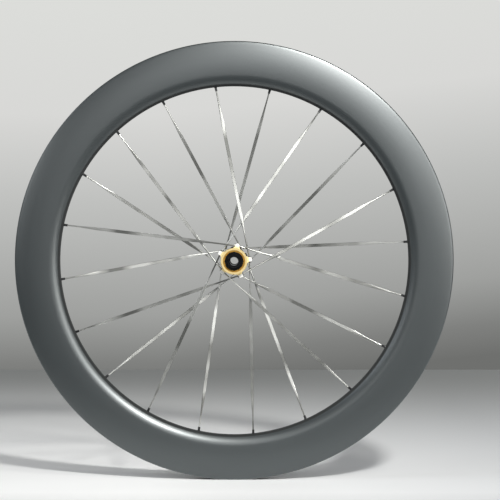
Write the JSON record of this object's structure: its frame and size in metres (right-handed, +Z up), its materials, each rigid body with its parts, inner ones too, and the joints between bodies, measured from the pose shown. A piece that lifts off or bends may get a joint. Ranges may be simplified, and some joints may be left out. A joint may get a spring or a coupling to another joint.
{
  "type": "front bicycle wheel",
  "caption": "Bare front disc-brake bicycle wheel: deep hollow carbon rim, bladed straight-pull spokes, star-flange hub on sealed bearings for a through-axle.",
  "frame": {"origin": "centre of the wheel, on the axle's axis in the rim's middle plane", "axes": "+Y along the axle away from the brake disc's side, +Z up, +X to the right seen from the brake disc's side"},
  "size_m": [0.6335, 0.1, 0.6336],
  "materials": {
    "carbon": "satin",
    "spoke_steel": "satin",
    "nipple_alloy": "satin",
    "hub_alloy": "satin",
    "gold_alloy": "satin",
    "cap_alloy": "satin",
    "axle_alloy": "satin",
    "bearing_steel": "polished",
    "ball_steel": "polished",
    "seal_rubber": "matte",
    "cage_plastic": "matte"
  },
  "bodies": {
    "axle": {"axle_tube": "axle_alloy", "end_cap_left": "cap_alloy", "end_cap_right": "cap_alloy", "bearing_left_inner_ring": "bearing_steel", "bearing_right_inner_ring": "bearing_steel"},
    "wheel": {"rim": "carbon", "hub_shell": "hub_alloy", "disc_lock_ring": "gold_alloy", "spoke_nipples": "nipple_alloy", "spoke_left_01": "spoke_steel", "spoke_left_02": "spoke_steel", "spoke_left_03": "spoke_steel", "spoke_left_04": "spoke_steel", "spoke_left_05": "spoke_steel", "spoke_left_06": "spoke_steel", "spoke_left_07": "spoke_steel", "spoke_left_08": "spoke_steel", "spoke_left_09": "spoke_steel", "spoke_left_10": "spoke_steel", "spoke_right_01": "spoke_steel", "spoke_right_02": "spoke_steel", "spoke_right_03": "spoke_steel", "spoke_right_04": "spoke_steel", "spoke_right_05": "spoke_steel", "spoke_right_06": "spoke_steel", "spoke_right_07": "spoke_steel", "spoke_right_08": "spoke_steel", "spoke_right_09": "spoke_steel", "spoke_right_10": "spoke_steel", "bearing_left_outer_ring": "bearing_steel", "bearing_left_outboard_seal": "seal_rubber", "bearing_left_inboard_seal": "seal_rubber", "bearing_right_outer_ring": "bearing_steel", "bearing_right_outboard_seal": "seal_rubber", "bearing_right_inboard_seal": "seal_rubber"},
    "ball_sets": {"bearing_balls": "ball_steel", "bearing_cages": "cage_plastic"}
  },
  "joints": [
    {"name": "wheel_spin", "type": "hinge", "parent": "axle", "child": "wheel", "pos_m": [0, 0, 0], "axis": [0, 1, 0], "continuous": true},
    {"name": "balls_roll", "type": "hinge", "parent": "axle", "child": "ball_sets", "pos_m": [0, 0, 0], "axis": [0, 1, 0], "continuous": true}
  ],
  "couplings": [
    {"joint": "balls_roll", "follows": "wheel_spin", "ratio": 0.56465}
  ]
}
